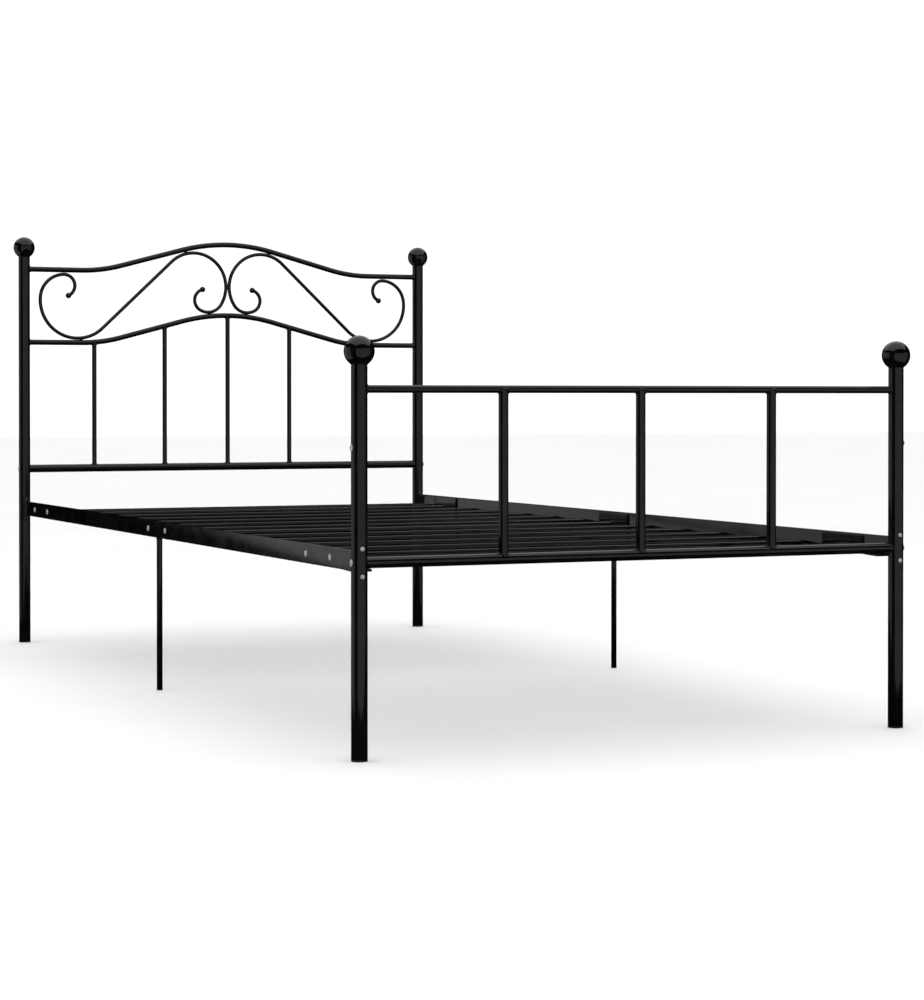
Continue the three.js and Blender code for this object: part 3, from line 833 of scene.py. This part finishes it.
def make_side_rail(name, side):
    """Hot-rolled angle with rounded toes, an end plate welded across each end and a shoe beside it."""
    node = f"side_rail_{name}"
    low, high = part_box(node)
    plate_z = (low.z + high.z) / 2
    plate_low, plate_high = plate_z - END_PLATE_HEIGHT / 2, plate_z + END_PLATE_HEIGHT / 2
    face, inner, edge = RAIL_FACE, RAIL_FACE - ANGLE_THICKNESS, RAIL_FACE - ANGLE_SIZE
    bottom = plate_z - ANGLE_DROP
    seat, top = bottom + ANGLE_THICKNESS, bottom + ANGLE_SIZE
    half = high.y - END_PLATE_THICKNESS

    def section(y, top):
        upright = [(face, bottom), (face, top), (inner, top)]
        flange = [(inner, seat), (edge, seat), (edge, bottom)]
        return [Vector((side * x, y, z)) for x, z in rounded(upright + flange, ANGLE_RADII)]

    uncut = half - CORNER_CUT_LENGTH
    cut_top = top - CORNER_CUT_HEIGHT
    stations = [(-half, cut_top), (-uncut, top), (uncut, top), (half, cut_top)]
    bm = bmesh.new()
    skin(bm, [section(y, z) for y, z in stations])
    for end in ENDS.values():
        start, stop = end * half, end * high.y
        inside, outside = side * END_PLATE_INNER, side * END_PLATE_OUTER
        add_block(bm, (inside, start, plate_low), (outside, stop, plate_high), END_PLATE_BEVEL)
        shoe = [(start - end * END_SHOE_LENGTH, END_SHOE_TIP), (start, END_SHOE_THICKNESS)]
        skin(bm, [shoe_section(side * edge, side * face, y, bottom, drop) for y, drop in shoe])
        weld_low, weld_high = bottom + HEEL_INSET, cut_top - NEAR_EDGE
        for x in (face, inner):
            add_seam(bm, Vector((side * x, start, weld_low)), Vector((side * x, start, weld_high)), X)
        toe = Vector((side * (face - HEEL_INSET), start, bottom - END_SHOE_THICKNESS))
        add_seam(bm, toe, toe - X * side * TOE_WELD_LENGTH, Z)
    new_piece(f"fine_{node}", bm, COAT, [node])


def shoe_section(left, right, y, top, drop):
    """Cross-section of a shoe that hangs drop below the angle."""
    low, high = top - drop, top + SUNK
    return [Vector((x, y, z)) for x, z in ((left, low), (right, low), (right, high), (left, high))]


def channel_section(width, wall, top, bottom, bends):
    """Outline of a channel that is open underneath, as (across, height) points."""
    outer, inner = bends
    half = width / 2
    within = half - wall
    corners = [
        (-half, bottom),
        (-within, bottom),
        (-within, top - wall),
        (within, top - wall),
        (within, bottom),
        (half, bottom),
        (half, top),
        (-half, top),
    ]
    toe = 0.2 * wall
    return rounded(corners, [toe, toe, inner, inner, toe, toe, outer, outer])


def make_cross_member(name):
    """A channel that steps up over the side rails, with a T-shaped plate welded on each end."""
    node = f"cross_member_{name}"
    low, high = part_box(node)
    y = (low.y + high.y) / 2
    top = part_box("slat_1")[1].z
    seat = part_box("slat_1")[0].z
    plate_face = RAIL_FACE - ANGLE_THICKNESS - FLANGE_CLEARANCE
    plate_back = plate_face - T_PLATE_THICKNESS
    shoulder = RAIL_FACE - ANGLE_SIZE - SHOULDER_CLEARANCE

    def section(x, bottom):
        outline = channel_section(CHANNEL_WIDTH, CHANNEL_WALL, top, bottom, CHANNEL_BENDS)
        return [Vector((x, y + across, z)) for across, z in outline]

    right_half = [(shoulder - CHANNEL_STEP, low.z), (shoulder, seat), (plate_back + CHANNEL_SUNK, seat)]
    stations = [(-x, z) for x, z in reversed(right_half)] + right_half
    bm = bmesh.new()
    skin(bm, [section(x, z) for x, z in stations])
    for side in SIDES.values():
        plate_low = (side * plate_back, y - T_PLATE_LENGTH / 2, seat)
        plate_high = (side * plate_face, y + T_PLATE_LENGTH / 2, high.z)
        add_block(bm, plate_low, plate_high, T_PLATE_BEVEL)
        corner = Vector((side * plate_back, y - CHANNEL_WIDTH / 2 + NEAR_BEND, top))
        add_seam(bm, corner, corner + Y * (CHANNEL_WIDTH - 2 * NEAR_BEND), Z)
        for way in (-1, 1):
            foot = Vector((side * plate_back, y + way * CHANNEL_WIDTH / 2, seat + NEAR_EDGE))
            add_seam(bm, foot, foot + Z * (SLAT_HEIGHT - NEAR_EDGE - NEAR_BEND), X)
    new_piece(f"fine_{node}", bm, COAT, [node])
    for label, side in SIDES.items():
        for i, way in enumerate((-1, 1), 1):
            place = Vector((side * RAIL_FACE, y + way * STUD_SPACING / 2, seat + STUD_HEIGHT))
            bm = bmesh.new()
            add_turned(bm, dome(DOME_NUT) + [(0, -SUNK)], place, X * side, BOLT_SIDES)
            new_piece(f"dome_nut_{name}_{label}_{i}", bm, ZINC)


def make_slat(i):
    """A slat folded from steel strip, open underneath and at its ends."""
    node = f"slat_{i}"
    low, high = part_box(node)
    y = (low.y + high.y) / 2
    outline = channel_section(high.y - low.y, SLAT_WALL, high.z, low.z, SLAT_BENDS)
    rings = [[Vector((x, y + across, z)) for across, z in outline] for x in (low.x, high.x)]
    bm = bmesh.new()
    skin(bm, rings)
    new_piece(f"fine_{node}", bm, COAT, [node])


def make_middle_leg(name, side):
    """A rod welded under a tab, with the screw that holds the tab to the side rail."""
    node = f"middle_leg_{name}"
    low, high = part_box(node)
    under = high.z - LEG_TAB_THICKNESS
    y = (low.y + high.y) / 2
    base = Vector((side * POST_X, y, 0))
    toe = arc((LEG_ROD - LEG_TOE, LEG_TOE), LEG_TOE, -90, 0, 5)
    profile = [(0, 0), *toe, (LEG_ROD, under + SUNK), (0, under + SUNK)]
    bm = bmesh.new()
    add_turned(bm, profile, base)
    inside, outside = side * (RAIL_FACE - LEG_TAB_LENGTH), side * RAIL_FACE
    add_block(bm, (inside, low.y, under), (outside, high.y, high.z), LEG_TAB_BEVEL)
    add_level_weld(bm, base + Z * under, LEG_ROD, LEG_BEAD)
    new_piece(f"fine_{node}", bm, COAT, [node])
    bm = bmesh.new()
    seat = Vector((side * LEG_SCREW_X, y, under))
    add_turned(bm, dome(LEG_SCREW_HEAD) + shank_end(LEG_SCREW_LENGTH), seat, -Z, BOLT_SIDES)
    new_piece(f"leg_screw_{name}", bm, ZINC)


def make_base():
    for name, side in SIDES.items():
        make_side_rail(name, side)
        make_middle_leg(name, side)
    for name in ("foot", "middle", "head"):
        make_cross_member(name)
    for i in range(1, SLAT_COUNT + 1):
        make_slat(i)


make_posts()
make_headboard()
make_footboard()
make_base()


# ---- Studio ----

FLOOR_SIZE = 60
MAT_MARGIN = 0.55  # the mat of painted shadow goes this far past the bed
MAT_DEPTH = 0.5 * MM  # below the floor


def new_stage(name, low, high, z, material):
    """A level rectangle that isn't part of the bed."""
    mesh = bpy.data.meshes.new(name)
    corners = [(low[0], low[1], z), (high[0], low[1], z), (high[0], high[1], z), (low[0], high[1], z)]
    mesh.from_pydata(corners, [], [(0, 1, 2, 3)])
    mesh.materials.append(material)
    plane = bpy.data.objects.new(name, mesh)
    bpy.context.scene.collection.objects.link(plane)
    return plane


def make_floor():
    """A pale floor that reflections don't show, and under it a dark mat of painted shadow that only
    they show.
    """
    half = FLOOR_SIZE / 2
    floor = new_stage("studio_floor", (-half, -half), (half, half), 0, floor_material())
    floor.visible_glossy = False
    low, high = CAD_BOX
    near = (low.x - MAT_MARGIN, low.y - MAT_MARGIN)
    far = (high.x + MAT_MARGIN, high.y + MAT_MARGIN)
    # painted shadow: the mat stands for the shaded floor round the bed, seen only in reflections
    mat = new_stage("painted_shadow_mat", near, far, -MAT_DEPTH, shadow_mat_material())
    mat.visible_camera = False
    mat.visible_diffuse = False
    mat.visible_shadow = False


# Bright zones that reflections show, by compass bearing from +Y towards +X, in degrees:
# where the zone rises and is full, where it starts to fall and is gone, and its brightness
REFLECTION_ZONES = [
    (267, 272, 338.5, 341, 0.43),
    (86, 142, 222, 229, 0.46),
]
ZONE_TOP = (14, 19)  # elevation where the zones start to fall and are gone
ROOM_BRIGHTNESS = 1.12
DIFFUSE_LOW = 0.665  # light on the floor from low down, and from overhead
DIFFUSE_HIGH = 2.0
OVERHEAD = (35, 55)  # elevation where the overhead light rises and is full
CEILING_SIZE = (7.4, 8.8)
CEILING_PLACE = (0.5, 1.2, 3.37)
CEILING_BRIGHTNESS = 1.05


class World(Nodes):
    """The studio's world: white to the camera, soft from above, with broad lights in reflections."""

    def __init__(self):
        world = bpy.data.worlds.new("studio")
        bpy.context.scene.world = world
        world.use_nodes = True
        world.cycles.sampling_method = "NONE"
        super().__init__(world.node_tree)
        self.tree.nodes.clear()
        direction = self.tree.nodes.new("ShaderNodeSeparateXYZ")
        place = self.tree.nodes.new("ShaderNodeTexCoord").outputs["Generated"]
        self.tree.links.new(place, direction.inputs[0])
        x, y, z = direction.outputs
        self.bearing = self.math("FLOORED_MODULO", self.math("ARCTAN2", x, y), 2 * math.pi)
        self.elevation = self.math("ARCSINE", z)

    def rise(self, angle, start, full):
        """0 below start and 1 above full, in degrees."""
        return self.ranged(angle, math.radians(start), math.radians(full))

    def reflected(self):
        """Brightness that glossy rays see."""
        below_top = self.math("SUBTRACT", 1.0, self.rise(self.elevation, *ZONE_TOP))
        total = 0.0
        for start, full, fall, gone, brightness in REFLECTION_ZONES:
            risen = self.rise(self.bearing, start, full)
            inside = self.math("SUBTRACT", risen, self.rise(self.bearing, fall, gone))
            zone = self.math("MULTIPLY", self.math("MULTIPLY", inside, below_top), brightness)
            total = self.math("ADD", total, zone)
        return total

    def diffused(self):
        """Brightness that lights the floor and the coat."""
        overhead = self.rise(self.elevation, *OVERHEAD)
        added = self.math("MULTIPLY", overhead, DIFFUSE_HIGH - DIFFUSE_LOW)
        return self.math("ADD", added, DIFFUSE_LOW)

    def finish(self):
        ray = self.tree.nodes.new("ShaderNodeLightPath").outputs
        seen, mirrored = ray["Is Camera Ray"], ray["Is Glossy Ray"]
        others = self.math("SUBTRACT", self.math("SUBTRACT", 1.0, seen), mirrored)
        strength = self.math("MULTIPLY", seen, ROOM_BRIGHTNESS)
        strength = self.math("ADD", strength, self.math("MULTIPLY", mirrored, self.reflected()))
        strength = self.math("ADD", strength, self.math("MULTIPLY", others, self.diffused()))
        background = self.tree.nodes.new("ShaderNodeBackground")
        background.inputs["Color"].default_value = (1, 1, 1, 1)
        self.tree.links.new(strength, background.inputs["Strength"])
        output = self.tree.nodes.new("ShaderNodeOutputWorld")
        self.tree.links.new(background.outputs[0], output.inputs["Surface"])


def make_ceiling():
    """The softbox over the whole set, as reflections show it."""
    data = bpy.data.lights.new("ceiling", "AREA")
    data.shape = "RECTANGLE"
    data.size, data.size_y = CEILING_SIZE
    data.energy = math.pi * CEILING_SIZE[0] * CEILING_SIZE[1] * CEILING_BRIGHTNESS
    light = bpy.data.objects.new("ceiling", data)
    light.location = CEILING_PLACE
    light.visible_camera = False
    light.visible_diffuse = False
    bpy.context.scene.collection.objects.link(light)


def make_camera():
    """Three quarters from the foot, at the height of the footboard's top rail."""
    data = bpy.data.cameras.new("camera")
    data.lens = 90.635
    data.sensor_width = 36
    data.shift_x = -0.0005
    data.shift_y = -0.0750
    data.clip_end = 200
    camera = bpy.data.objects.new("camera", data)
    camera.location = (-1.8947, -4.5801, 0.5520)
    camera.rotation_euler = (math.radians(89.3894), 0, math.radians(-24.007))
    bpy.context.scene.collection.objects.link(camera)
    bpy.context.scene.camera = camera


make_floor()
World().finish()
make_ceiling()
make_camera()
bpy.context.scene.view_settings.view_transform = "Standard"
